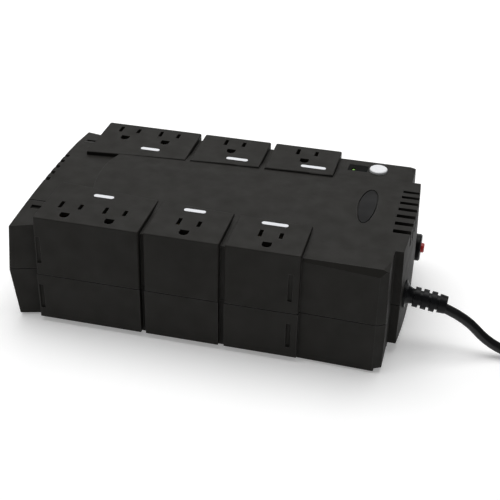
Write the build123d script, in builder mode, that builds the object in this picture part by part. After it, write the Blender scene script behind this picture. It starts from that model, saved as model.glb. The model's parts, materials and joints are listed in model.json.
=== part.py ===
from build123d import *
from math import radians, tan
import os

os.makedirs("parts", exist_ok=True)

# ---------------------------------------------------------------- driving dimensions, mm
# X runs along the case, from the vented left end to the end that the cord leaves.
# Y runs across it, from the front row of outlets (negative) to the rear row. Z is up, 0 on the floor.
floor_gap = 1.5  # rubber feet hold the case off the floor
seam_z = 35.4  # where the two shells meet
block_top = 76.5  # faces of the outlet blocks
deck_edge_z = 73.3  # low ledges beside the blocks
vault_top = 77.3  # crown of the arched deck
vault_radius = 250.0
block_bottom = 3.3
end_bottom = 6.8  # underside of the end that the cord leaves
left_deck_top = 74.3  # crown of the flat deck at the left end
left_deck_radius = 400.0
left_deck_half = 42.0
shoulder_fall = 5.6  # from the deck's edge down to the case's corner
vault_end_x = -86.5  # where the arched deck starts
vault_end_radius = 100.0
wall = 2.5
floor_top = floor_gap + 4.0
case_half = 70.0  # half the width at the left corners
block_half = 70.8  # half the width over the blocks, at the seam
core_half = 44.8  # half the width of the end face
left_corner_x = -125.15
left_crown_x = -126.75
end_corner_x = 119.9
end_crown_x = 122.25
section_end_x = 114.35
draft_up = 1.5  # degrees
draft_down = 0.4
end_draft_down = 6.4
left_draft_up = 4.0
left_bevel_z = 66.5  # above this the left end slopes back to the deck
left_bevel = 32.0
gap = 0.3  # clearance round moving pieces
block_corner = 1.2
block_rounding = 0.7

# Three blocks a side: the first holds two outlets, the others one each.
blocks = ((-106.05, -38.25), (-35.05, 12.05), (15.75, 61.85))
outlet_x = (-88.25, -59.2, -11.75, 39.35)
front_slot_y = -50.3
rear_slot_y = 61.1
slot_half_pitch = 6.35  # half the spacing of the two blades
ground_offset = 11.9  # from the blades' line to the ground pin
slot_width = 2.5
long_slot = 8.0
short_slot = 6.6
ground_radius = 3.0
ground_flat = 3.0

# Inner edges of the blocks are arcs about the middle, a little further apart to the right.
edge_left = (-105.25, 22.3)
edge_middle = (-15.25, 30.4)
edge_right = (61.85, 34.2)


def export(part, name):
    part.label = name
    export_step(part, f"parts/{name}.step")


def inner_edge(x):
    """Distance of a block's inner edge from the middle of the case: a parabola through three points."""
    (x0, y0), (x1, y1), (x2, y2) = edge_left, edge_middle, edge_right
    slope = (y1 - y0) / (x1 - x0)
    bend = ((y2 - y1) / (x2 - x1) - slope) / (x2 - x0)
    return y0 + slope * (x - x0) + bend * (x - x0) * (x - x1)


# ---------------------------------------------------------------- outlines of the case
def case_outline():
    """Half of the case's outline at the seam, from the left corner to the end face, front side."""
    return [
        (left_corner_x, -case_half),
        (-108.5, -65.2),
        (61.85, -68.0),
        (108.75, -69.4),
        (section_end_x, -66.4),
        (section_end_x, -core_half),
        (end_corner_x, -core_half),
    ]


def case_sketch(height, inset=0.0):
    """The case's outline at the seam without the blocks, drawn at a height and moved in by an inset."""
    front = case_outline()
    rear = [(x, -y) for x, y in reversed(front)]
    with BuildSketch(Plane.XY.offset(height)) as sketch:
        with BuildLine():
            Polyline(*front)
            ThreePointArc(front[-1], (end_crown_x, 0), rear[0])
            Polyline(*rear)
            ThreePointArc(rear[-1], (left_crown_x, 0), front[0])
        make_face()
        if inset:
            offset(amount=-inset, kind=Kind.INTERSECTION)
    return sketch.sketch


def block_sketch(height, index, side, inset=0.0):
    """One block's outline at a height: side is -1 in front and 1 at the rear."""
    left = blocks[index][0] + inset
    right = blocks[index][1] - inset
    # Anticlockwise from above on either side of the case.
    first, last = (left, right) if side > 0 else (right, left)
    middle = (left + right) / 2
    edge = [side * (inner_edge(x) + inset) for x in (first, middle, last)]
    outside = side * (block_half - inset)
    with BuildSketch(Plane.XY.offset(height)) as sketch:
        with BuildLine():
            ThreePointArc((first, edge[0]), (middle, edge[1]), (last, edge[2]))
            Polyline((last, edge[2]), (last, outside), (first, outside), (first, edge[0]))
        make_face()
    return sketch.sketch


def end_former(start, height, angle, inset=0.0):
    """A large body whose left end slopes in from a height, up or down, to trim the left end wall."""
    reach = 90.0
    crown = left_crown_x + inset
    corner = crown + (left_corner_x - left_crown_x) * (reach / case_half) ** 2
    with BuildPart() as former:
        with BuildSketch(Plane.XY.offset(start)):
            with BuildLine():
                ThreePointArc((corner, reach), (crown, 0), (corner, -reach))
                Polyline((corner, -reach), (200, -reach), (200, reach), (corner, reach))
            make_face()
        extrude(amount=abs(height), dir=(0, 0, height / abs(height)), taper=angle)
    return former.part


def deck_cutter(inset=0.0):
    """Everything above the left deck and its sloping shoulders, up to the arc where the vault starts."""
    high = 90.0
    out = 80.0
    edge_z = left_deck_top - left_deck_half**2 / (2 * left_deck_radius) - inset
    slope = shoulder_fall / (case_half - left_deck_half)
    low = edge_z - slope * (out - left_deck_half)
    with BuildPart() as cutter:
        with BuildSketch(Plane.YZ.offset(-140)):
            with BuildLine():
                Line((-out, low), (-left_deck_half, edge_z))
                ThreePointArc(
                    (-left_deck_half, edge_z),
                    (0, left_deck_top - inset),
                    (left_deck_half, edge_z),
                )
                Polyline((left_deck_half, edge_z), (out, low), (out, high), (-out, high), (-out, low))
            make_face()
        extrude(amount=75)
        with BuildSketch(Plane.XY.offset(40)):
            with Locations((vault_end_x + vault_end_radius, 0)):
                Circle(vault_end_radius - inset)
        extrude(amount=60, mode=Mode.SUBTRACT)
    return cutter.part


def upper_core(inset=0.0):
    """The upper shell's body without its blocks: a drafted prism under the vault and the low ledges."""
    start = seam_z if inset == 0 else seam_z - 1
    with BuildPart() as core:
        add(case_sketch(start, inset))
        extrude(amount=80 - start, taper=draft_up)
        with BuildPart(mode=Mode.PRIVATE) as envelope:
            with BuildSketch(Plane.YZ.offset(-140)):
                with Locations((0, vault_top - vault_radius)):
                    Circle(vault_radius - inset)
                with Locations((0, 0)):
                    Rectangle(300, 2 * (deck_edge_z - inset))
            extrude(amount=280)
        add(envelope.part, mode=Mode.INTERSECT)
        add(deck_cutter(inset), mode=Mode.SUBTRACT)
        # The left end leans in, and more steeply near the deck.
        lean = (left_bevel_z - seam_z) * tan(radians(left_draft_up))
        below = (left_bevel_z - seam_z + 1) * tan(radians(left_bevel))
        add(end_former(seam_z - 1, 60, left_draft_up, inset), mode=Mode.INTERSECT)
        add(end_former(seam_z - 1, 60, left_bevel, inset + lean - below), mode=Mode.INTERSECT)
    return core.part


def block_body(index, side, inset=0.0):
    """One outlet block above the seam, with softened edges; an inset gives the hollow inside it."""
    start = seam_z - 1 if inset else seam_z
    top = block_top - inset
    lean = tan(radians(draft_up))
    outside_low = block_half - inset + lean
    outside_high = outside_low - lean * (top - seam_z + 1)
    with BuildPart() as block:
        add(block_sketch(start, index, side, inset))
        extrude(amount=top - start)
        # Only the outside face leans in.
        with BuildSketch(Plane.YZ.offset(-140)):
            with BuildLine():
                Polyline(
                    (0, seam_z - 1),
                    (side * outside_low, seam_z - 1),
                    (side * outside_high, top),
                    (0, top),
                    (0, seam_z - 1),
                )
            make_face()
        extrude(amount=280, mode=Mode.INTERSECT)
        if not inset:
            outside_face = block.faces().sort_by(Axis.Y)[0 if side < 0 else -1]
            upright = outside_face.edges().sort_by(Axis.X)
            fillet([upright[0], upright[-1]], block_corner)
            fillet(block.faces().sort_by(Axis.Z)[-1].edges(), block_rounding)
    return block.part


def corner_facet(side):
    """What is sliced off the outer top corner beside the end face, in front or at the rear."""
    with BuildPart() as facet:
        with BuildSketch(Plane(origin=(109.0, side * 67.8, deck_edge_z), z_dir=(0.286, side * 0.093, 0.954))):
            Rectangle(50, 50)
        extrude(amount=10)
        box((100, -90, 60), (section_end_x + 0.5, 90, 90), Mode.INTERSECT)
        box((90, -core_half, 60), (130, core_half, 90), Mode.SUBTRACT)
    return facet.part


def lower_core(inset=0.0):
    """The lower shell's body without its blocks: a prism down to the floor with a sloping left end."""
    start = seam_z + 1 if inset else seam_z
    bottom = floor_top if inset else floor_gap
    with BuildPart() as core:
        add(case_sketch(start, inset))
        extrude(amount=start - bottom, dir=(0, 0, -1), taper=draft_down)
        add(end_former(seam_z, floor_gap - seam_z, end_draft_down, inset), mode=Mode.INTERSECT)
    return core.part


def lower_block(index, side, inset=0.0):
    """One outlet block's part below the seam; an inset gives the hollow inside it."""
    start = seam_z + 1 if inset else seam_z
    bottom = floor_top if inset else block_bottom
    return extrude(block_sketch(start, index, side, inset), amount=start - bottom, dir=(0, 0, -1))


def all_blocks(shape, inset=0.0):
    """All six blocks made by one of the functions above."""
    return [shape(index, side, inset) for side in (-1, 1) for index in range(3)]


def box(low, high, mode=Mode.ADD):
    """A block between two opposite corners."""
    size = [b - a for a, b in zip(low, high)]
    middle = tuple((a + b) / 2 for a, b in zip(low, high))
    with Locations(middle):
        Box(*size, mode=mode)


def rods(points, z0, z1, radius, mode=Mode.ADD):
    """Upright cylinders between two heights at several places."""
    with Locations([(x, y, (z0 + z1) / 2) for x, y in points]):
        Cylinder(radius, z1 - z0, mode=mode)


def rod_x(x0, x1, y, z, radius, mode=Mode.ADD):
    """A cylinder lying along X."""
    with Locations(Location(((x0 + x1) / 2, y, z), (0, 90, 0))):
        Cylinder(radius, x1 - x0, mode=mode)


# ---------------------------------------------------------------- places of the fittings
screw_spots = [(-116.0, -57.0), (-116.0, 57.0), (107.0, -61.5), (107.0, 61.5)]
boss_radius = 4.0
post_radius = 4.6
screw_radius = 1.5
pilot_radius = 1.55
screw_reach = 15.0
head_radius = 3.3
head_height = 2.4
head_seat_z = 22.0

foot_spots = [(-108.0, -50.0), (-108.0, 50.0), (98.0, -50.0), (98.0, 50.0)]
foot_radius = 6.0
foot_sink = 1.0

button_x = 89.35
button_y = 55.0
button_radius = 6.0

window_x = (69.2, 82.2)
window_y = (50.4, 59.0)
led_x = 72.9
led_y = 52.6

badge_x = 90.2
badge_half_x = 6.1
badge_half_y = 21.8
badge_groove = 0.9
badge_sink = 1.2

breaker_y = 31.0
breaker_z = 32.6
collar_radius = 9.0
collar_depth = 5.0
barrel_radius = 7.0
reset_radius = 3.2
tip_x = 126.75

cord_y = -30.3
cord_z = seam_z
cord_diameter = 6.4
relief_root = 8.6
cord_hole_radius = 5.6
seat_x = 119.6  # flat seats of the breaker's collar and of the strain relief
relief_tip_x = 147.4

vent_pitch = 8.4
vent_width = 3.6
right_vent_start = 109.4
right_vent_low = 66.5
left_vent_end = -116.6
left_vent_low = 66.0

board_z = 58.0
board_thickness = 1.6

door_half = 37.6
door_lip_half = 35.5
door_end_x = 18.0
door_start_x = -121.6
door_low = floor_gap + 0.2
door_step = door_low + 1.0
door_high = door_low + 2.0
battery_low = door_high + 0.4

reveal_height = 0.5
reveal_depth = 0.8
small_pilot_radius = 1.15
control_posts = [(69.0, 46.8), (97.5, 47.5)]
board_x = 20.0
core_low = floor_top + 3
bracket_spots = [(80.0, -56.0), (80.0, 22.0)]
outlets = [(x, y) for y in (front_slot_y, rear_slot_y) for x in outlet_x]  # the middle of each one's blades


def finger_grooves(low, high):
    """Slender shallow grooves at the outer ends of each row of blocks, between two heights."""
    left = blocks[0][0] + 2.3
    right = blocks[2][1] - 5.6
    with Locations([(x, y, (low + high) / 2) for x in (left, right) for y in (-block_half, block_half)]):
        Cylinder(1.5, high - low, mode=Mode.SUBTRACT)


def end_fittings(low, high):
    """Flat seats and holes in the end face for the cord and the breaker, between two heights."""
    for y in (cord_y, breaker_y):
        box((115.8, y - 11, low), (seat_x, y + 11, high))
    rod_x(seat_x, 130, cord_y, cord_z, relief_root + 0.2, Mode.SUBTRACT)
    rod_x(seat_x, 130, breaker_y, breaker_z, collar_radius + 0.2, Mode.SUBTRACT)
    rod_x(100, 130, cord_y, cord_z, cord_hole_radius, Mode.SUBTRACT)
    rod_x(100, 130, breaker_y, breaker_z, barrel_radius + 0.1, Mode.SUBTRACT)


# ---------------------------------------------------------------- upper shell
with BuildPart() as badge_tray:
    with BuildSketch(Plane.XY.offset(70)):
        with Locations((badge_x, 0)):
            Ellipse(badge_half_x, badge_half_y)
    extrude(amount=10)
    rod_x(80, 100, 0, vault_top - vault_radius, vault_radius - badge_sink, Mode.SUBTRACT)

with BuildPart() as seam_reveal:
    box((-140, -90, seam_z), (140, 90, seam_z + reveal_height))
    add(extrude(case_sketch(seam_z - 1, reveal_depth), amount=3, dir=(0, 0, 1)), mode=Mode.SUBTRACT)
    pads = [block_sketch(seam_z - 1, index, side, reveal_depth) for side in (-1, 1) for index in range(3)]
    add([extrude(pad, amount=3, dir=(0, 0, 1)) for pad in pads], mode=Mode.SUBTRACT)

with BuildPart() as upper_shell:
    add(upper_core())
    add(all_blocks(block_body))
    add([corner_facet(-1), corner_facet(1)], mode=Mode.SUBTRACT)
    add([upper_core(wall), *all_blocks(block_body, wall)], mode=Mode.SUBTRACT)
    # Screw bosses hang from the roof, lower at the left end, and two posts carry the control board.
    rods(screw_spots[:2], seam_z, 68.0, boss_radius)
    rods(screw_spots[2:], seam_z, deck_edge_z - 1, boss_radius)
    rods(screw_spots, seam_z - 1, seam_z + screw_reach + 1, pilot_radius, Mode.SUBTRACT)
    rods(control_posts, board_z + board_thickness, deck_edge_z - 1, 2.4)
    rods(control_posts, board_z, board_z + 9, small_pilot_radius, Mode.SUBTRACT)
    # The outlets' holes.
    with Locations([(x - slot_half_pitch, y, block_top) for x, y in outlets]):
        Box(slot_width, long_slot, 10, mode=Mode.SUBTRACT)
    with Locations([(x + slot_half_pitch, y, block_top) for x, y in outlets]):
        Box(slot_width, short_slot, 10, mode=Mode.SUBTRACT)
    with Locations([(x, y - ground_offset, block_top) for x, y in outlets]):
        Cylinder(ground_radius, 10, mode=Mode.SUBTRACT)
    with Locations([(x, y - ground_offset + ground_flat / 2, block_top) for x, y in outlets]):
        Box(2 * ground_radius, ground_flat, 10, mode=Mode.SUBTRACT)
    # At the left end a fine line edges the deck, with a shallow notch outside it.
    with Locations([(-115.2, y, left_deck_top - 0.4) for y in (-left_deck_half - 0.4, left_deck_half + 0.4)]):
        Box(17, 0.7, 5, mode=Mode.SUBTRACT)
    with Locations([(-113, y, left_deck_top - 2.4) for y in (-48.5, 48.5)]):
        Box(7, 3.4, 5, mode=Mode.SUBTRACT)
    # Vents run over the edge of each end.
    with Locations((right_vent_start + 15, 0, right_vent_low + 10)):
        with GridLocations(1, vent_pitch, 1, 7):
            Box(30, vent_width, 20, mode=Mode.SUBTRACT)
    with Locations((left_vent_end - 15, 0, left_vent_low + 10)):
        with GridLocations(1, vent_pitch, 1, 5):
            Box(30, vent_width, 20, mode=Mode.SUBTRACT)
    # Holes for the power button and the status window, and a curved tray for the badge.
    rods([(button_x, button_y)], 68, 80, button_radius + gap, Mode.SUBTRACT)
    box((window_x[0] - 0.15, window_y[0] - 0.15, 68), (window_x[1] + 0.15, window_y[1] + 0.15, 80), Mode.SUBTRACT)
    add(badge_tray.part, mode=Mode.SUBTRACT)
    end_fittings(seam_z, seam_z + 11)
    finger_grooves(44.0, 63.0)
    add(seam_reveal.part, mode=Mode.SUBTRACT)
export(upper_shell.part, "upper_shell")


# ---------------------------------------------------------------- lower shell
with BuildPart() as lower_shell:
    add(lower_core())
    add(all_blocks(lower_block))
    add([lower_core(wall), *all_blocks(lower_block, wall)], mode=Mode.SUBTRACT)
    # The end that stands out stops short of the floor.
    box((111.5, -44, floor_top - 1), (119, 44, end_bottom + 2.4))
    box((section_end_x, -60, 0), (130, 60, end_bottom), Mode.SUBTRACT)
    box((109.6, -80, 0), (130, 80, block_bottom), Mode.SUBTRACT)
    # Posts for the case screws, with a deep seat for each head.
    rods(screw_spots, floor_top - 1, seam_z, post_radius)
    rods(screw_spots, 0, seam_z + 1, screw_radius + 0.5, Mode.SUBTRACT)
    rods(screw_spots, 0, head_seat_z, head_radius + 0.4, Mode.SUBTRACT)
    rods(foot_spots, 0, floor_gap + foot_sink, foot_radius + 0.1, Mode.SUBTRACT)
    # The battery door's channel, open at the left end, and the bay's mouth above it.
    box((-140, -door_lip_half - gap, 0), (door_end_x + gap, door_lip_half + gap, door_high + gap), Mode.SUBTRACT)
    box((-140, -door_half - gap, door_step - gap), (door_end_x + gap, door_half + gap, door_high + gap), Mode.SUBTRACT)
    box((-118.4, -34.5, 0), (16.6, 34.5, 10), Mode.SUBTRACT)
    # Walls of the battery bay, slotted posts for the main board, ribs and pads under the transformer.
    with Locations((-49, -36, 15), (-49, 36, 15)):
        Box(126, 2, 22)
    with Locations((20.8, -41, 19), (20.8, 41, 19)):
        Box(7.2, 5, 30)
    box((board_x - 0.2, -40.2, 8), (board_x + 1.8, 40.2, 40), Mode.SUBTRACT)
    with Locations((80, -46, 6.5), (80, 12, 6.5)):
        Box(28, 4, 4)
    rods(bracket_spots, floor_top - 1, core_low, 4.0)
    rods(bracket_spots, floor_top - 2, core_low + 1, small_pilot_radius, Mode.SUBTRACT)
    end_fittings(22, seam_z)
    finger_grooves(10.4, 28.0)
export(lower_shell.part, "lower_shell")


# ---------------------------------------------------------------- battery door and feet
with BuildPart() as battery_door:
    box((door_start_x, -door_lip_half, door_low), (door_end_x, door_lip_half, door_high))
    box((door_start_x, -door_half, door_step), (door_end_x, door_half, door_high))
    # Grip ridges near the open end.
    with Locations((door_start_x + 14, 0, door_low)):
        with GridLocations(3.0, 1, 5, 1):
            Box(1.4, 40, 1.0, mode=Mode.SUBTRACT)
export(battery_door.part, "battery_door")

with BuildPart() as rubber_feet:
    rods(foot_spots, 0, floor_gap + foot_sink, foot_radius)
    chamfer(rubber_feet.faces().filter_by(Axis.Z).group_by(Axis.Z)[0].edges(), 0.6)
export(rubber_feet.part, "rubber_feet")


# ---------------------------------------------------------------- screws
def screws(spots, head_low, head_size, head_tall, shank_size, tip_z):
    """Upright screws with their heads at the bottom and a cross recess in each."""
    seat = head_low + head_tall
    with BuildPart() as made:
        rods(spots, head_low, seat, head_size)
        chamfer(made.faces().filter_by(Axis.Z).group_by(Axis.Z)[0].edges(), head_tall * 0.25)
        rods(spots, seat, tip_z, shank_size)
        with Locations([(x, y, head_low) for x, y in spots]):
            Box(head_size * 1.1, head_size * 0.28, head_tall, mode=Mode.SUBTRACT)
            Box(head_size * 0.28, head_size * 1.1, head_tall, mode=Mode.SUBTRACT)
    return made.part


case_screws = screws(screw_spots, head_seat_z - head_height, head_radius, head_height, screw_radius, 50.4)
export(case_screws, "case_screws")


# ---------------------------------------------------------------- badge on the deck and labels on the blocks
with BuildPart() as badge_plate:
    with BuildSketch(Plane.XY.offset(70)):
        with Locations((badge_x, 0)):
            Ellipse(badge_half_x - badge_groove, badge_half_y - badge_groove)
    extrude(amount=10)
    with BuildPart(mode=Mode.PRIVATE) as badge_layer:
        rod_x(80, 100, 0, vault_top - vault_radius, vault_radius - 0.2)
        rod_x(80, 100, 0, vault_top - vault_radius, vault_radius - badge_sink, Mode.SUBTRACT)
    add(badge_layer.part, mode=Mode.INTERSECT)
export(badge_plate.part, "badge_plate")

label_height = 3.3
label_depth = 0.2
label_spots = (
    (-72.65, -34.1, 13.3),
    (-12.35, -35.8, 14.0),
    (39.15, -38.2, 16.6),
    (-65.5, 36.7, 13.3),
    (-4.6, 38.6, 14.9),
    (47.25, 41.4, 17.0),
)
with BuildPart() as outlet_labels:
    for x, y, width in label_spots:
        with BuildSketch(Plane.XY.offset(block_top)):
            with Locations((x, y)):
                SlotOverall(width, label_height)
        extrude(amount=label_depth)
export(outlet_labels.part, "outlet_labels")


# ---------------------------------------------------------------- power button, its switch and the status light
flange_top = deck_edge_z - wall - gap
stem_low = board_z + board_thickness + 5.8
with BuildPart() as power_button:
    rods([(button_x, button_y)], flange_top - 1, deck_edge_z + 1.5, button_radius)
    fillet(power_button.faces().sort_by(Axis.Z)[-1].edges(), 0.9)
    rods([(button_x, button_y)], flange_top - 1.2, flange_top, 6.8)
    rods([(button_x, button_y)], stem_low, flange_top - 1, 2.2)
export(power_button.part, "power_button")

switch_low = board_z + board_thickness
with BuildPart() as power_switch:
    box((button_x - 3, button_y - 3, switch_low), (button_x + 3, button_y + 3, switch_low + 4))
    rods([(button_x, button_y)], switch_low + 1, switch_low + 5, 2.0, Mode.SUBTRACT)
    with Locations([(button_x + dx, button_y + dy, switch_low - 1) for dx in (-2.4, 2.4) for dy in (-2.4, 2.4)]):
        Cylinder(0.35, 2)
export(power_switch.part, "power_switch")

with BuildPart() as switch_plunger:
    rods([(button_x, button_y)], switch_low + 2.8, stem_low, 1.7)
export(switch_plunger.part, "switch_plunger")

with BuildPart() as control_board:
    box((66, 44, board_z), (101, 63.5, board_z + board_thickness))
    rods(control_posts, board_z - 1, board_z + 3, small_pilot_radius + 0.3, Mode.SUBTRACT)
    pin_holes = [(button_x + dx, button_y + dy) for dx in (-2.4, 2.4) for dy in (-2.4, 2.4)]
    rods(pin_holes, board_z - 1, board_z + 3, 0.6, Mode.SUBTRACT)
    rods([(led_x - 1.27, led_y), (led_x + 1.27, led_y)], board_z - 1, board_z + 3, 0.5, Mode.SUBTRACT)
export(control_board.part, "control_board")

control_screws = screws(control_posts, board_z - 1.8, 2.2, 1.8, 1.05, board_z + 8)
export(control_screws, "control_board_screws")

with BuildPart() as status_window:
    box((window_x[0], window_y[0], deck_edge_z - wall), (window_x[1], window_y[1], deck_edge_z - 0.1))
    box((window_x[0] - 0.8, window_y[0] - 0.8, deck_edge_z - wall - 0.9),
        (window_x[1], window_y[1] + 0.8, deck_edge_z - wall))
    rods([(led_x, led_y)], 60, 80, 1.4, Mode.SUBTRACT)
export(status_window.part, "status_window")

with BuildPart() as status_led:
    rods([(led_x, led_y)], 66, deck_edge_z - 0.4, 1.25)
    fillet(status_led.faces().sort_by(Axis.Z)[-1].edges(), 0.8)
    rods([(led_x, led_y)], 65, 68.5, 1.7)
    rods([(led_x - 1.27, led_y), (led_x + 1.27, led_y)], board_z - 0.6, 65, 0.28)
export(status_led.part, "status_led")


# ---------------------------------------------------------------- circuit breaker on the end face
with BuildPart() as breaker_body:
    rod_x(seat_x, seat_x + collar_depth, breaker_y, breaker_z, collar_radius)
    chamfer(breaker_body.faces().sort_by(Axis.X)[-1].edges(), 0.8)
    rod_x(108, seat_x, breaker_y, breaker_z, barrel_radius)
    box((93, breaker_y - 8, breaker_z - 8), (112, breaker_y + 8, breaker_z + 8))
    rod_x(113, 130, breaker_y, breaker_z, reset_radius + gap, Mode.SUBTRACT)
    rod_x(114.4, 120.6, breaker_y, breaker_z, reset_radius + 1.3, Mode.SUBTRACT)
export(breaker_body.part, "breaker_body")

with BuildPart() as breaker_terminals:
    for y in (breaker_y - 4.5, breaker_y + 4.5):
        box((84, y - 0.4, breaker_z - 3.15), (93, y + 0.4, breaker_z + 3.15))
export(breaker_terminals.part, "breaker_terminals")

with BuildPart() as breaker_reset_button:
    rod_x(113.4, tip_x, breaker_y, breaker_z, reset_radius)
    fillet(breaker_reset_button.faces().sort_by(Axis.X)[-1].edges(), 0.8)
    rod_x(114.8, 116.2, breaker_y, breaker_z, reset_radius + 0.9)
export(breaker_reset_button.part, "breaker_reset_button")


# ---------------------------------------------------------------- outlet contacts
def pair_of_leaves(x, y, length, half_space, low, high, thick=0.6):
    """Two upright leaves that a blade or a pin slides between."""
    for side in (-1, 1):
        middle = x + side * (half_space + thick / 2)
        box((middle - thick / 2, y - length / 2, low), (middle + thick / 2, y + length / 2, high))


def blade_contacts(row_y, shift, base_z, length):
    """One strip along a row of outlets with a pair of leaves under each slot on one side."""
    with BuildPart() as strip:
        y = row_y - 5.5
        box((outlet_x[0] + shift - 2, y - 0.4, base_z - 3), (outlet_x[-1] + shift + 2, y + 0.4, base_z + 0.8))
        for x in outlet_x:
            box((x + shift - 1.7, y - 0.4, base_z), (x + shift + 1.7, row_y + length / 2, base_z + 0.8))
            pair_of_leaves(x + shift, row_y, length, 0.85, base_z, 72.8)
    return strip.part


def ground_contacts(row_y):
    """One strip along a row of outlets with a pair of leaves under each ground hole."""
    with BuildPart() as strip:
        y = row_y - ground_offset + 4.0
        box((outlet_x[0] - 3, y - 0.4, 58), (outlet_x[-1] + 3, y + 0.4, 62.8))
        for x in outlet_x:
            box((x - 3.0, row_y - ground_offset - 2.5, 62), (x + 3.0, y + 0.4, 62.8))
            pair_of_leaves(x, row_y - ground_offset, 5, 2.4, 62, 71.5)
    return strip.part


for row, row_y in (("front", front_slot_y), ("rear", rear_slot_y)):
    export(blade_contacts(row_y, -slot_half_pitch, 63.0, 6.4), f"{row}_neutral_contacts")
    export(blade_contacts(row_y, slot_half_pitch, 58.0, 5.4), f"{row}_line_contacts")
    export(ground_contacts(row_y), f"{row}_ground_contacts")

# Carriers that hold the three strips of a row under the block tops.
for row, row_y in (("front", front_slot_y), ("rear", rear_slot_y)):
    low_y = row_y - 11.6
    high_y = row_y + 0.9
    with BuildPart() as outlet_carrier:
        box((-101, low_y, 47), (53, high_y, 50))
        for x in (-101.0, -74.0, -36.7, 12.0, 50.0):
            box((x, low_y, 47), (x + 3, high_y, 66))
        for x in (-101.0, 50.0):
            box((x, row_y - 3, 60), (x + 3, row_y, block_top - wall))
        # Slots that the strips are pushed down into.
        neutral_y = row_y - 5.5
        ground_y = row_y - ground_offset + 4.0
        box((-98.5, neutral_y - 0.4, 54), (49.8, neutral_y + 0.4, 70), Mode.SUBTRACT)
        box((-98.5, ground_y - 0.4, 57), (49.8, ground_y + 0.4, 70), Mode.SUBTRACT)
    export(outlet_carrier.part, f"{row}_outlet_carrier")


# ---------------------------------------------------------------- battery
battery_high = 64.0
terminal_x = -111.5
terminal_y = 26.0
with BuildPart() as battery:
    box((-117.5, -33.5, battery_low), (16, 33.5, battery_high))
    fillet(battery.edges().filter_by(Axis.Z), 2.0)
    # The lid is set in a little all round.
    with BuildSketch(Plane.XY.offset(battery_high - 6)):
        with Locations((-50.75, 0)):
            Rectangle(140, 70)
            Rectangle(132.3, 65.8, mode=Mode.SUBTRACT)
    extrude(amount=0.8, mode=Mode.SUBTRACT)
export(battery.part, "battery")

with BuildPart() as battery_terminals:
    for y in (-terminal_y, terminal_y):
        box((terminal_x - 4, y - 0.4, battery_high), (terminal_x + 2.3, y + 0.4, battery_high + 5))
        box((terminal_x - 4, y - 2.5, battery_high), (terminal_x + 2.3, y + 2.5, battery_high + 0.8))
export(battery_terminals.part, "battery_terminals")


# ---------------------------------------------------------------- transformer
core_y = -17.0
core_x = 80.0
stack_half = 17.0
core_high = core_low + 55.0
leg = 11.0
with BuildPart() as transformer_core:
    box((core_x - stack_half, core_y - 33, core_low), (core_x + stack_half, core_y + 33, core_high))
    for side in (-1, 1):
        box((core_x - 30, core_y + side * 16.5 - 5.5, core_low + leg),
            (core_x + 30, core_y + side * 16.5 + 5.5, core_high - leg), Mode.SUBTRACT)
export(transformer_core.part, "transformer_core")

with BuildPart() as transformer_windings:
    for low, high in ((0.6, 15.6), (17.4, 32.4)):
        box((core_x - stack_half - 8, core_y - 21.4, core_low + leg + low),
            (core_x + stack_half + 8, core_y + 21.4, core_low + leg + high))
    box((core_x - stack_half - 6, core_y - 19, core_low + leg + 15),
        (core_x + stack_half + 6, core_y + 19, core_low + leg + 18))
    fillet(transformer_windings.edges().filter_by(Axis.Z), 3.0)
    box((core_x - stack_half, core_y - leg, core_low), (core_x + stack_half, core_y + leg, core_high), Mode.SUBTRACT)
export(transformer_windings.part, "transformer_windings")

strap = 1.4
with BuildPart() as transformer_bracket:
    low_y, high_y = core_y - 33, core_y + 33
    box((core_x - 8, low_y - strap, core_low), (core_x + 8, high_y + strap, core_high + strap))
    box((core_x - 8, low_y - 10, core_low), (core_x + 8, high_y + 10, core_low + strap))
    box((core_x - 20, low_y, core_low - 1), (core_x + 20, high_y, core_high), Mode.SUBTRACT)
    rods(bracket_spots, core_low - 1, core_low + 3, 1.6, Mode.SUBTRACT)
export(transformer_bracket.part, "transformer_bracket")

with BuildPart() as transformer_screws:
    rods(bracket_spots, core_low + strap, core_low + strap + 2, 2.8)
    chamfer(transformer_screws.faces().filter_by(Axis.Z).group_by(Axis.Z)[-1].edges(), 0.5)
    rods(bracket_spots, floor_top - 1, core_low + strap, 1.05)
    with Locations([(x, y, core_low + strap + 2) for x, y in bracket_spots]):
        Box(3.2, 0.8, 2.0, mode=Mode.SUBTRACT)
        Box(0.8, 3.2, 2.0, mode=Mode.SUBTRACT)
export(transformer_screws.part, "transformer_screws")


# ---------------------------------------------------------------- main board and its components
face_x = board_x + board_thickness  # the components stand on this side
with BuildPart() as main_board:
    box((board_x, -40, 8), (face_x, 40, 66))
export(main_board.part, "main_board")

with BuildPart() as relays:
    for y in (-30.0, -13.0):
        box((face_x, y - 7.7, 14), (face_x + 15.5, y + 7.7, 33))
    chamfer(relays.faces().sort_by(Axis.X)[-2:].edges(), 0.6)
export(relays.part, "relays")

with BuildPart() as capacitors:
    rod_x(face_x, face_x + 25, 10, 20, 8.0)
    rod_x(face_x, face_x + 25, 28, 20, 8.0)
    rod_x(face_x, face_x + 13, 0, 40, 4.0)
    fillet(capacitors.faces().filter_by(Axis.X).sort_by(Axis.X)[3:].edges(), 0.8)
export(capacitors.part, "capacitors")

with BuildPart() as heatsinks:
    for y in (16.0, 33.0):
        box((face_x, y - 1, 34), (face_x + 22, y + 1, 60))
        for k in range(4):
            box((face_x + 2 + 6 * k, y + 1, 34), (face_x + 3.4 + 6 * k, y + 6, 60))
export(heatsinks.part, "heatsinks")

with BuildPart() as power_transistors:
    for y in (15.0, 32.0):
        for z in (41.0, 53.0):
            box((face_x + 4, y - 4.4, z - 5), (face_x + 19, y, z + 5))
            box((face_x, y - 2.5, z - 3), (face_x + 4, y - 2, z + 3))
export(power_transistors.part, "power_transistors")

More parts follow.
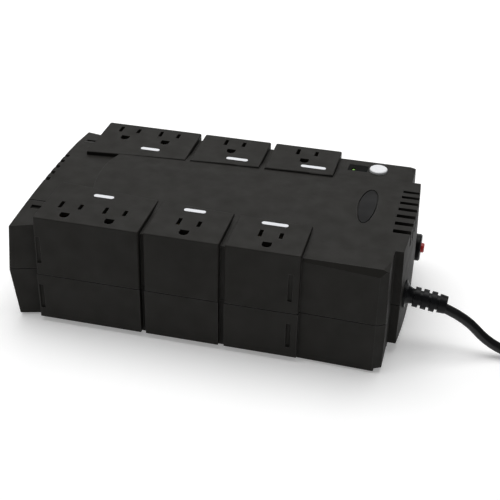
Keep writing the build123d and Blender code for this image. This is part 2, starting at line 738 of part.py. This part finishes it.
with BuildPart() as varistors:
    for y in (-34.0, -26.0, -18.0):
        with Locations(Location((face_x + 7, y, 42), (90, 0, 0))):
            Cylinder(5.0, 4.0)
        box((face_x, y - 0.4, 39), (face_x + 3.5, y + 0.4, 40))
        box((face_x, y - 0.4, 44), (face_x + 3.5, y + 0.4, 45))
export(varistors.part, "varistors")

with BuildPart() as board_fuse:
    box((face_x, -10, 52), (face_x + 5, 10, 58))
    box((face_x + 5, -9.5, 52.5), (face_x + 15, 9.5, 57.5))
export(board_fuse.part, "board_fuse")

with BuildPart() as buzzer:
    rod_x(face_x, face_x + 8.5, -28, 56, 6.0)
    rod_x(face_x + 4, face_x + 12, -28, 56, 1.2, Mode.SUBTRACT)
export(buzzer.part, "buzzer")

with BuildPart() as controller_chip:
    box((face_x + 0.6, -14.0, 43), (face_x + 3.6, -8.0, 49))
    with Locations((face_x + 0.9, -11, 46)):
        with GridLocations(1, 7.6, 1, 2):
            Box(1.8, 1.2, 5)
export(controller_chip.part, "controller_chip")


# ---------------------------------------------------------------- wires inside
def tube(points, radii, radius):
    """A round wire or cord along straight runs joined by tangent arcs."""
    with BuildPart() as made:
        with BuildLine() as path:
            FilletPolyline(*points, radius=radii)
        with BuildSketch(Plane(origin=points[0], z_dir=path.line % 0)):
            Circle(radius)
        sweep()
    return made.part


def wire_set(routes, radius=1.1, bend=3.0):
    """Several wires of one kind as separate solids."""
    return Compound(children=[tube(points, bend, radius) for points in routes])


input_line = wire_set([
    [(112.6, -28.9, 33), (109, -28.9, 33), (109, 20, 33), (79, 20, 33), (79, 26.5, 33), (84, 26.5, 33)],
    [(84, 35.5, 31), (64, 35.5, 31), (50, 37, 30.5), (face_x, 37, 30.5)],
], bend=1.5)
export(input_line, "input_wire_line")

input_neutral = wire_set([
    [(112.6, -31.9, 35.4), (108.5, -31.9, 35.4), (108.5, -31.9, 67.5), (27, -38.5, 67.5),
     (27, -38.5, 56), (face_x, -38.5, 56)],
], bend=1.8)
export(input_neutral, "input_wire_neutral")

input_ground = wire_set([
    [(112.6, -34.5, 33.5), (108, -34.5, 33.5), (108, -53, 33.5), (108, -53, 68), (58, -58.2, 68),
     (46, -58.2, 68), (46, -58.2, 60.5), (outlet_x[-1] + 3, -58.2, 60.5)],
    [(112.6, -26.5, 37.5), (107.5, -26.5, 37.5), (107.5, -26.5, 68.5), (107.5, 41, 68.5), (57, 41, 68.5),
     (48, 53.2, 68.5), (48, 53.2, 60.5), (outlet_x[-1] + 3, 53.2, 60.5)],
], bend=1.5)
export(input_ground, "input_wire_ground")

outlet_feeds = wire_set([
    [(face_x, -38.2, 49.5), (32, -38.2, 49.5), (32, -41, 62), (39, -44, 62), (39, -55.8, 62), (35, -55.8, 62)],
    [(face_x, -38.5, 35.5), (41, -38.5, 35.5), (41, -41, 57), (41, -55.4, 57)],
    [(face_x, 38, 63), (29, 38, 63), (29, 46, 69), (29, 55.6, 69), (29, 55.6, 63.8)],
    [(face_x, 34, 63), (44.9, 34, 63), (44.9, 47, 66), (44.9, 55.6, 66), (44.9, 55.6, 58.8)],
], bend=1.5)
export(outlet_feeds, "outlet_feed_wires")

for name, y in (("battery_lead_positive", terminal_y), ("battery_lead_negative", -terminal_y)):
    lead = wire_set([
        [(terminal_x + 2.3, y, 67), (-105, y, 67), (-97, y, 68.2), (27, y, 68.2), (27, y, 64.2), (face_x, y, 64.2)],
    ], bend=1.5)
    export(lead, name)

transformer_leads = wire_set([
    [(55, y, 40), (51, y, 40), (45, y, 35.5), (face_x, y, 35.5)] for y in (-13.5, -10.0, -6.5)
], bend=1.5)
export(transformer_leads, "transformer_leads")

control_cable = wire_set([
    [(66, 47 + rise, 58.8), (61, 47 + rise, 58.8), (52, 40 + rise, 58.8), (48, 25, 50 + rise), (face_x, 25, 50 + rise)]
    for rise in (-1.6, 0, 1.6)
], radius=0.6, bend=3.0)
export(control_cable, "control_cable")


# ---------------------------------------------------------------- strain relief
ring_pitch = 5.2
ring_width = 3.3
cord_radius = cord_diameter / 2
relief_dip = 8.0  # degrees that its outer part hangs down
relief_start = (119.2, cord_y, cord_z)
relief_plane = Plane.XZ.offset(-cord_y)
with BuildPart() as relief_tail:
    with BuildSketch(relief_plane):
        with BuildLine():
            Polyline(
                (relief_tip_x, cord_z + 5.6),
                (relief_tip_x, cord_z + cord_radius),
                (120.4, cord_z + cord_radius),
                (120.4, cord_z + 7.6),
                (121.6, cord_z + 7.6),
            )
            ThreePointArc((121.6, cord_z + 7.6), (123.2, cord_z + 6.0), (126.6, cord_z + 4.8))
            Polyline(
                (126.6, cord_z + 4.8),
                (142.6, cord_z + 4.6),
                (142.6, cord_z + 6.0),
                (relief_tip_x, cord_z + 5.6),
            )
        make_face()
        for k in range(3):
            with Locations((127.0 + ring_pitch * k + ring_width / 2, cord_z + cord_radius + 1.6)):
                Rectangle(ring_width, 3.2)
    revolve(axis=Axis((0, cord_y, cord_z), (1, 0, 0)))

with BuildPart() as strain_relief:
    add(relief_tail.part.rotate(Axis(relief_start, (0, 1, 0)), relief_dip))
    with BuildSketch(relief_plane):
        with BuildLine():
            Polyline(
                (112.6, cord_z + cord_radius),
                (112.6, cord_z + 8),
                (115.6, cord_z + 8),
                (115.6, cord_z + cord_hole_radius - 0.1),
                (seat_x, cord_z + cord_hole_radius - 0.1),
                (seat_x, cord_z + relief_root),
                (122.0, cord_z + relief_root),
                (122.0, cord_z + cord_radius),
                (112.6, cord_z + cord_radius),
            )
        make_face()
    revolve(axis=Axis((0, cord_y, cord_z), (1, 0, 0)))
export(strain_relief.part, "strain_relief")


# ---------------------------------------------------------------- power cord
cord_route = [
    (119.2, -30.3, 35.4),
    (154.0, -30.3, 30.5),
    (180.5, -31.5, 3.4),
    (219.0, -33.0, 3.6),
    (254.4, -21.9, 4.6),
]
coil_centre = (242.5, 22.5)
coil_inner = 23.6
coil_outer = 49.6
coil_low = 1.3
coil_high = 14.6
tail_route = [
    (196.5, 22.5, 11.1),
    (196.5, -16.0, 11.5),
    (210.5, -40.2, 12.7),
]
plug_direction = (0.5, -0.866, 0)


def cord_radii(route):
    """The largest smooth bend at each corner: it uses 0.45 of the shorter run beside it."""
    radii = []
    for a, b, c in zip(route, route[1:], route[2:]):
        before = Vector(*b) - Vector(*a)
        after = Vector(*c) - Vector(*b)
        half_turn = radians(before.get_angle(after)) / 2
        radii.append(0.45 * min(before.length, after.length) / tan(half_turn))
    return radii


for name, route in (("power_cord", cord_route), ("cord_tail", tail_route)):
    bends = cord_radii(route)
    print(name, "bend radii", [round(bend, 1) for bend in bends])
    export(tube(route, bends, cord_radius), name)

with BuildPart() as cord_coil:
    with BuildSketch(Plane.XZ.offset(-coil_centre[1])):
        with Locations((coil_centre[0] + (coil_inner + coil_outer) / 2, (coil_low + coil_high) / 2)):
            RectangleRounded(coil_outer - coil_inner, coil_high - coil_low, cord_radius - 0.2)
    revolve(axis=Axis((coil_centre[0], coil_centre[1], 0), (0, 0, 1)))
export(cord_coil.part, "cord_coil")

# A twist tie goes round the bundle of turns on the side away from the case.
tie_x = coil_centre[0] + (coil_inner + coil_outer) / 2
with BuildPart() as cord_tie:
    with BuildSketch(Plane.XZ.offset(-coil_centre[1])):
        with Locations((tie_x, (coil_low + coil_high) / 2)):
            RectangleRounded(coil_outer - coil_inner + 2.2, coil_high - coil_low + 2.2, 3.2)
            RectangleRounded(coil_outer - coil_inner, coil_high - coil_low, 3.0, mode=Mode.SUBTRACT)
    extrude(amount=4, both=True)
export(cord_tie.part, "cord_tie")


# ---------------------------------------------------------------- plug
plug_start = tail_route[-1]
plug_plane = Plane(origin=plug_start, x_dir=(0, 0, 1), z_dir=plug_direction)
nose = 16.0
plug_body_length = 30.0
with BuildPart() as power_plug:
    with BuildSketch(plug_plane):
        Circle(4.4)
    with BuildSketch(plug_plane.offset(nose)):
        RectangleRounded(19, 22, 7)
    loft()
    with BuildSketch(plug_plane.offset(nose)):
        RectangleRounded(19, 22, 7)
    extrude(amount=plug_body_length - 4)
    with BuildSketch(plug_plane.offset(nose + plug_body_length - 4)):
        RectangleRounded(24.5, 26, 8)
    extrude(amount=4)
export(power_plug.part, "power_plug")

plug_face = plug_plane.offset(nose + plug_body_length)
with BuildPart() as plug_blades:
    with BuildSketch(plug_face):
        with Locations((-4.0, -slot_half_pitch), (-4.0, slot_half_pitch)):
            Rectangle(6.35, 1.5)
    extrude(amount=17.5)
    chamfer(plug_blades.faces().sort_by(Axis(plug_start, plug_direction))[-2:].edges(), 0.4)
export(plug_blades.part, "plug_blades")

with BuildPart() as plug_ground_pin:
    with BuildSketch(plug_face):
        with Locations((ground_offset - 4.0, 0)):
            Circle(2.4)
    extrude(amount=20.5)
    fillet(plug_ground_pin.faces().sort_by(Axis(plug_start, plug_direction))[-1].edges(), 1.6)
export(plug_ground_pin.part, "plug_ground_pin")
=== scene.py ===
import json
from math import cos, pi, radians, sin

import bpy
from mathutils import Matrix, Vector


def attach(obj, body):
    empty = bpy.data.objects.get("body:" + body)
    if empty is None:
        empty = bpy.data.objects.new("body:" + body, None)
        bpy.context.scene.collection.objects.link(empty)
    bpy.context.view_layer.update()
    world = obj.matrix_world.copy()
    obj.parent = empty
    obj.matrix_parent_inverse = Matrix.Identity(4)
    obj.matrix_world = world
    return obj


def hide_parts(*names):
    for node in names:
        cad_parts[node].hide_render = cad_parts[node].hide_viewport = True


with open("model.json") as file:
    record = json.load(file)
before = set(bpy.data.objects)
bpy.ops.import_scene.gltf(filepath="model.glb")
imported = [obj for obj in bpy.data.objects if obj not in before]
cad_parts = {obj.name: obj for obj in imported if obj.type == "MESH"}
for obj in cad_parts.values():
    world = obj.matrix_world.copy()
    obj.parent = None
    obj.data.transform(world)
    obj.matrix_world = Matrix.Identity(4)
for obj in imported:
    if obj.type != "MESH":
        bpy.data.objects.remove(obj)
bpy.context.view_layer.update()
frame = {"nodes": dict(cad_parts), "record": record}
scene = bpy.context.scene
nodes = frame["nodes"]
MM = 0.001


# ---------------------------------------------------------------- camera
# It stands in front, a little to the right, looking down at the case, with the horizon tipped slightly.
CAMERA_PLACE = Vector((154.7, -594.9, 414.9)) * MM
CAMERA_TURN = -0.231  # about Z, from straight along +Y
CAMERA_DIP = 0.561
CAMERA_ROLL = 0.022
LENS = 78.23

forward = Vector(
    (sin(CAMERA_TURN) * cos(CAMERA_DIP), cos(CAMERA_TURN) * cos(CAMERA_DIP), -sin(CAMERA_DIP))
)
level_right = Vector((cos(CAMERA_TURN), -sin(CAMERA_TURN), 0))
level_up = level_right.cross(forward)
right = cos(CAMERA_ROLL) * level_right + sin(CAMERA_ROLL) * level_up
up = right.cross(forward)
camera_data = bpy.data.cameras.new("camera")
camera_data.lens = LENS
camera_data.sensor_width = 36
camera_data.clip_start = 0.01
camera = bpy.data.objects.new("camera", camera_data)
camera.matrix_world = Matrix.Translation(CAMERA_PLACE) @ Matrix((right, up, -forward)).transposed().to_4x4()
scene.collection.objects.link(camera)
scene.camera = camera


# ---------------------------------------------------------------- power cord
# The same route as the CAD tubes: out of the strain relief, down to the floor, round the coil and over to the plug.
CORD_DIAMETER = 6.4
LEAVING = [
    (119.2, -30.3, 35.4),
    (154.0, -30.3, 30.5),
    (180.5, -31.5, 3.4),
    (219.0, -33.0, 3.6),
]
TAIL = [
    (196.5, -16.0, 11.5),
    (210.5, -40.2, 12.7),
]
COIL_CENTRE = (242.5, 22.5)
COIL_OUTER = 46.0
COIL_INNER = 27.2
TURN_PITCH = 6.6
LOWER_LAYER = 4.6
UPPER_LAYER = 11.1
COIL_START = radians(-75)
COIL_TURNS = 5.708
POINTS_PER_TURN = 18


def coil_points():
    """Turns that wind inwards in the lower layer and out again in the upper one."""
    half = (COIL_OUTER - COIL_INNER) / TURN_PITCH
    # A spline runs a little inside its control points.
    widen = 1 / cos(pi / POINTS_PER_TURN)
    count = round(COIL_TURNS * POINTS_PER_TURN)
    points = []
    for k in range(count + 1):
        turn = COIL_TURNS * k / count
        angle = COIL_START + 2 * pi * turn
        radius = COIL_INNER + TURN_PITCH * abs(turn - half)
        climb = min(max((turn - half + 0.2) / 0.4, 0.0), 1.0)
        z = LOWER_LAYER + (UPPER_LAYER - LOWER_LAYER) * climb
        points.append(
            (COIL_CENTRE[0] + radius * widen * cos(angle), COIL_CENTRE[1] + radius * widen * sin(angle), z)
        )
    return points


def cord_curve(name, points, diameter):
    """A round cord along one smooth open spline, all in millimetres."""
    data = bpy.data.curves.new(name, "CURVE")
    data.dimensions = "3D"
    # The bevel is in millimetres, and each point's radius scales it to metres.
    data.bevel_depth = diameter / 2
    data.bevel_resolution = 8
    data.resolution_u = 8
    data.use_fill_caps = True
    spline = data.splines.new("NURBS")
    spline.points.add(len(points) - 1)
    for point, place in zip(spline.points, points):
        point.co = (*(c * MM for c in place), 1)
        point.radius = MM
    spline.order_u = 3
    spline.use_endpoint_u = True
    made = bpy.data.objects.new(name, data)
    scene.collection.objects.link(made)
    return made


power_cord = cord_curve("power_cord_whole", LEAVING + coil_points() + TAIL, CORD_DIAMETER)
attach(power_cord, "case")
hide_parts("power_cord", "cord_coil", "cord_tail")


# ---------------------------------------------------------------- materials
class Nodes:
    """Short ways to add shader nodes to one material."""

    def __init__(self, name):
        self.material = bpy.data.materials.new(name)
        self.material.use_nodes = True
        self.tree = self.material.node_tree
        self.shader = self.tree.nodes["Principled BSDF"]
        coordinates = self.tree.nodes.new("ShaderNodeTexCoord")
        self.place = coordinates.outputs["Object"]

    def link(self, source, target):
        self.tree.links.new(source, target)

    def noise(self, scale, detail=2.0, stretch=None):
        node = self.tree.nodes.new("ShaderNodeTexNoise")
        node.inputs["Scale"].default_value = scale
        node.inputs["Detail"].default_value = detail
        where = self.place
        if stretch:
            mapping = self.tree.nodes.new("ShaderNodeMapping")
            mapping.inputs["Scale"].default_value = stretch
            self.link(where, mapping.inputs["Vector"])
            where = mapping.outputs["Vector"]
        self.link(where, node.inputs["Vector"])
        return node.outputs["Fac"]

    def spread(self, source, low, high, low_value, high_value):
        """Maps a range of a value onto another range."""
        node = self.tree.nodes.new("ShaderNodeMapRange")
        for key, value in (("From Min", low), ("From Max", high), ("To Min", low_value), ("To Max", high_value)):
            node.inputs[key].default_value = value
        self.link(source, node.inputs["Value"])
        return node.outputs["Result"]

    def mix(self, factor, first, second):
        """Blends two colours; each is a colour or another node's output."""
        node = self.tree.nodes.new("ShaderNodeMix")
        node.data_type = "RGBA"
        self.link(factor, node.inputs["Factor"])
        for socket, colour in ((node.inputs[6], first), (node.inputs[7], second)):
            if isinstance(colour, tuple):
                socket.default_value = (*colour, 1)
            else:
                self.link(colour, socket)
        return node.outputs[2]

    def edges(self, width=0.0005):
        """High along edges, where the rounded normal turns away from the flat one, and low elsewhere."""
        geometry = self.tree.nodes.new("ShaderNodeNewGeometry")
        rounded = self.tree.nodes.new("ShaderNodeBevel")
        rounded.samples = 6
        rounded.inputs["Radius"].default_value = width
        turn = self.tree.nodes.new("ShaderNodeVectorMath")
        turn.operation = "DOT_PRODUCT"
        self.link(rounded.outputs["Normal"], turn.inputs[0])
        self.link(geometry.outputs["Normal"], turn.inputs[1])
        return self.spread(turn.outputs["Value"], 0.998, 0.92, 0.0, 1.0)

    def bump(self, height, strength, distance, rounding=None):
        node = self.tree.nodes.new("ShaderNodeBump")
        node.inputs["Strength"].default_value = strength
        node.inputs["Distance"].default_value = distance
        self.link(height, node.inputs["Height"])
        if rounding:
            bevel = self.tree.nodes.new("ShaderNodeBevel")
            bevel.samples = 4
            bevel.inputs["Radius"].default_value = rounding
            self.link(bevel.outputs["Normal"], node.inputs["Normal"])
        self.link(node.outputs["Normal"], self.shader.inputs["Normal"])


def scaled(colour, factor):
    return tuple(min(c * factor, 1.0) for c in colour)


def moulded(
    name, colour, rough=0.5, grain=1500, depth=0.00006, rounding=None, vary=0.18, wear_and_highlight=0.35, coat=0.0, shine=0.5
):
    """Moulded plastic or rubber: faint blotches, fine grain, edges a little paler, partly from wear and partly as a
    painted highlight.
    """
    n = Nodes(name)
    blotches = n.noise(35, 4)
    tint = n.mix(n.spread(blotches, 0.3, 0.7, 0, 1), scaled(colour, 1 - vary), scaled(colour, 1 + vary))
    # Edges painted paler: partly wear, partly a painted highlight along the edges.
    worn_and_highlit_edge = tuple(c + wear_and_highlight * (0.16 + 0.5 * c) * 0.35 for c in colour)
    n.link(n.mix(n.edges(), tint, worn_and_highlit_edge), n.shader.inputs["Base Color"])
    n.link(n.spread(n.noise(90, 3), 0.3, 0.7, rough - 0.06, rough + 0.06), n.shader.inputs["Roughness"])
    n.shader.inputs["Coat Weight"].default_value = coat
    n.shader.inputs["Specular IOR Level"].default_value = shine
    n.bump(n.noise(grain, 3), 0.35, depth, rounding)
    return n.material


def metal(name, colour, rough=0.3, stretch=(1, 1, 1), rounding=None, grain=900, depth=0.00003):
    """Rolled or plated metal: brushed grain along one direction, dulled patches, edges painted brighter as a
    highlight.
    """
    n = Nodes(name)
    patches = n.noise(60, 5)
    tint = n.mix(n.spread(patches, 0.35, 0.7, 0, 1), scaled(colour, 0.82), scaled(colour, 1.08))
    # Edges painted brighter: a painted highlight along the edges.
    n.link(n.mix(n.edges(), tint, scaled(colour, 1.35)), n.shader.inputs["Base Color"])
    n.link(n.spread(n.noise(140, 3, stretch), 0.3, 0.7, rough - 0.08, rough + 0.12), n.shader.inputs["Roughness"])
    n.shader.inputs["Metallic"].default_value = 1.0
    n.bump(n.noise(grain, 2, stretch), 0.3, depth, rounding)
    return n.material


def board(name, colour):
    """Circuit board: woven glass under green lacquer, with paler tracks."""
    n = Nodes(name)
    brick = n.tree.nodes.new("ShaderNodeTexBrick")
    brick.inputs["Scale"].default_value = 260
    brick.inputs["Mortar Size"].default_value = 0.12
    mapping = n.tree.nodes.new("ShaderNodeMapping")
    mapping.inputs["Rotation"].default_value = (0.3, 0.9, 0.2)
    n.link(n.place, mapping.inputs["Vector"])
    n.link(mapping.outputs["Vector"], brick.inputs["Vector"])
    n.link(n.mix(brick.outputs["Fac"], colour, scaled(colour, 1.9)), n.shader.inputs["Base Color"])
    n.shader.inputs["Roughness"].default_value = 0.35
    n.bump(brick.outputs["Fac"], 0.3, 0.00005)
    return n.material


def laminated(name, colour):
    """Varnished edges of a stack of thin steel sheets."""
    n = Nodes(name)
    wave = n.tree.nodes.new("ShaderNodeTexWave")
    wave.inputs["Scale"].default_value = 320
    wave.inputs["Distortion"].default_value = 0.6
    n.link(n.place, wave.inputs["Vector"])
    n.link(n.mix(wave.outputs["Fac"], scaled(colour, 0.55), scaled(colour, 1.4)), n.shader.inputs["Base Color"])
    n.link(n.spread(n.noise(80, 4), 0.3, 0.7, 0.35, 0.55), n.shader.inputs["Roughness"])
    n.shader.inputs["Metallic"].default_value = 0.8
    n.bump(wave.outputs["Fac"], 0.5, 0.0001, 0.0004)
    return n.material


def lamp(name, colour, glow):
    """A lit lens: clear coloured plastic that glows, brighter in the middle."""
    n = Nodes(name)
    layer = n.tree.nodes.new("ShaderNodeLayerWeight")
    layer.inputs["Blend"].default_value = 0.4
    n.link(n.mix(layer.outputs["Facing"], scaled(colour, 1.2), scaled(colour, 0.4)), n.shader.inputs["Base Color"])
    n.shader.inputs["Emission Color"].default_value = (*colour, 1)
    n.link(n.spread(n.noise(700, 2), 0.3, 0.7, glow * 0.8, glow * 1.2), n.shader.inputs["Emission Strength"])
    n.shader.inputs["Roughness"].default_value = 0.2
    return n.material


case_black = moulded("case_black", (0.0104, 0.0095, 0.0076), 0.64, 2600, 0.00007, 0.0004, 0.08, 0.60, 0, 0.22)
FINISHES = {
    "case_plastic": case_black,
    "door_plastic": case_black,
    "rubber": moulded("foot_rubber", (0.03, 0.03, 0.03), 0.75, 900, 0.0001, 0.0004),
    "screw_steel": metal("zinc_steel", (0.55, 0.56, 0.58), 0.32, rounding=0.0002),
    "badge_plastic": moulded("badge_grey", (0.0022, 0.0022, 0.0024), 0.45, 3200, 0.00003, 0.0004, 0.05, 0.1, 0, 0.11),
    "label_white": moulded("label_white", (0.80, 0.81, 0.84), 0.5, 2400, 0.00002, None, 0.04, 0.1),
    "button_white": moulded("button_white", (0.78, 0.79, 0.81), 0.33, 2400, 0.00002, 0.0003, 0.03, 0.1),
    "switch_plastic": moulded("nylon_black", (0.030, 0.030, 0.032), 0.5),
    "circuit_board": board("green_board", (0.02, 0.11, 0.05)),
    "window_dark": moulded("smoked_window", (0.0010, 0.0013, 0.0010), 0.45, 1200, 0.00001, 0.0003, 0.1, 0.05, 0, 0.03),
    "led_green": lamp("green_lens", (0.16, 0.38, 0.05), 0.28),
    "breaker_black": moulded("breaker_black", (0.0026, 0.0026, 0.0029), 0.36, 1800, 0.00004, 0.0003, 0.15, 0.2, 0, 0.14),
    "reset_red": moulded("reset_red", (0.50, 0.018, 0.015), 0.32, 1800, 0.00003, 0.0003, 0.12, 0.2),
    "contact_brass": metal("spring_brass", (0.78, 0.58, 0.24), 0.28, (1, 6, 1), 0.0001),
    "carrier_grey": moulded("grey_nylon", (0.26, 0.27, 0.28), 0.55, 1400, 0.00006, 0.0003),
    "battery_grey": moulded("battery_case", (0.075, 0.08, 0.085), 0.5, 1500, 0.00008, 0.0006),
    "tinned_metal": metal("tinned_tab", (0.72, 0.71, 0.69), 0.3),
    "core_steel": laminated("laminations", (0.15, 0.13, 0.11)),
    "winding_tape": moulded("winding_tape", (0.60, 0.40, 0.07), 0.34, 500, 0.00012, 0.0006, 0.2, 0.1, 0.3),
    "bracket_steel": metal("bracket_steel", (0.60, 0.60, 0.60), 0.34, (6, 1, 1), 0.0003),
    "relay_plastic": moulded("relay_blue", (0.03, 0.08, 0.26), 0.3, 1600, 0.00003, 0.0003),
    "capacitor_sleeve": moulded("shrink_sleeve", (0.02, 0.03, 0.05), 0.25, 700, 0.00004, 0.0003, 0.15, 0.1, 0.4),
    "heatsink_aluminium": metal("extruded_aluminium", (0.72, 0.73, 0.74), 0.35, (1, 1, 8), 0.0002),
    "epoxy_black": moulded("epoxy_black", (0.022, 0.022, 0.023), 0.55, 2000, 0.00004, 0.0002),
    "varistor_blue": moulded("varistor_blue", (0.03, 0.10, 0.34), 0.28, 900, 0.00006, 0.0004),
    "fuse_holder": moulded("fuse_amber", (0.62, 0.42, 0.03), 0.25, 1400, 0.00003, 0.0003),
    "wire_black": moulded("wire_black", (0.018, 0.018, 0.018), 0.32, 1100, 0.00003),
    "wire_white": moulded("wire_white", (0.74, 0.74, 0.72), 0.32, 1100, 0.00003, None, 0.06, 0.1),
    "wire_green": moulded("wire_green", (0.02, 0.24, 0.05), 0.32, 1100, 0.00003),
    "wire_red": moulded("wire_red", (0.48, 0.015, 0.012), 0.32, 1100, 0.00003),
    "wire_yellow": moulded("wire_yellow", (0.70, 0.52, 0.03), 0.32, 1100, 0.00003),
    "cable_grey": moulded("cable_grey", (0.30, 0.30, 0.31), 0.42, 1100, 0.00003),
    "cord_pvc": moulded("cord_pvc", (0.0040, 0.0042, 0.0048), 0.30, 700, 0.00005, None, 0.2, 0.1, 0, 0.32),
    "relief_pvc": moulded("relief_pvc", (0.0026, 0.0028, 0.0036), 0.36, 1000, 0.00005, 0.0003, 0.2, 0.12, 0, 0.16),
    "tie_black": moulded("tie_black", (0.007, 0.007, 0.0075), 0.5, 800, 0.00006, 0.0002, 0.18, 0.2, 0, 0.3),
    "plug_pvc": moulded("plug_pvc", (0.0046, 0.0048, 0.0054), 0.34, 1200, 0.00005, 0.0006, 0.15, 0.15, 0, 0.3),
    "plug_metal": metal("plug_nickel", (0.80, 0.78, 0.72), 0.24, rounding=0.0002),
}

for part in frame["record"]["subparts"]:
    mesh = nodes[part["node"]].data
    mesh.materials.clear()
    mesh.materials.append(FINISHES[part["material_slot"]])
power_cord.data.materials.append(FINISHES["cord_pvc"])


# ---------------------------------------------------------------- floor and light
floor_mesh = bpy.data.meshes.new("floor")
reach = 6.0
floor_mesh.from_pydata([(-reach, -reach, 0), (reach, -reach, 0), (reach, reach, 0), (-reach, reach, 0)], [], [(0, 1, 2, 3)])
floor = bpy.data.objects.new("floor", floor_mesh)
scene.collection.objects.link(floor)
paper = Nodes("paper")
paper.link(
    paper.mix(paper.spread(paper.noise(3, 2), 0.3, 0.7, 0, 1), (0.90, 0.90, 0.90), (0.93, 0.93, 0.93)),
    paper.shader.inputs["Base Color"],
)
paper.shader.inputs["Roughness"].default_value = 0.85
paper.shader.inputs["Emission Color"].default_value = (1, 1, 1, 1)
paper.shader.inputs["Emission Strength"].default_value = 0.25
paper.bump(paper.noise(400, 3), 0.1, 0.00005)
floor_mesh.materials.append(paper.material)


def softbox(name, place, aim, width, height, power):
    data = bpy.data.lights.new(name, "AREA")
    data.shape = "RECTANGLE"
    data.size = width
    data.size_y = height
    data.energy = power
    made = bpy.data.objects.new(name, data)
    made.location = place
    made.rotation_euler = (Vector(aim) - Vector(place)).to_track_quat("-Z", "Y").to_euler()
    scene.collection.objects.link(made)
    return made


softbox("overhead", (-0.1, 0.3, 1.5), (0, 0, 0), 1.6, 1.2, 22)
softbox("behind", (-0.35, 1.6, 1.0), (0, 0, 0.05), 1.6, 0.8, 5)
softbox("front_fill", (0.3, -1.7, 0.9), (0, 0, 0.03), 1.4, 1.0, 0.8)
softbox("left_rim", (-1.5, 0.2, 0.7), (0, 0, 0.04), 0.7, 1.2, 2)

world = bpy.data.worlds.new("world")
world.use_nodes = True
world.node_tree.nodes["Background"].inputs["Color"].default_value = (1, 1, 1, 1)
world.node_tree.nodes["Background"].inputs["Strength"].default_value = 0.14
scene.world = world
scene.view_settings.view_transform = "Standard"
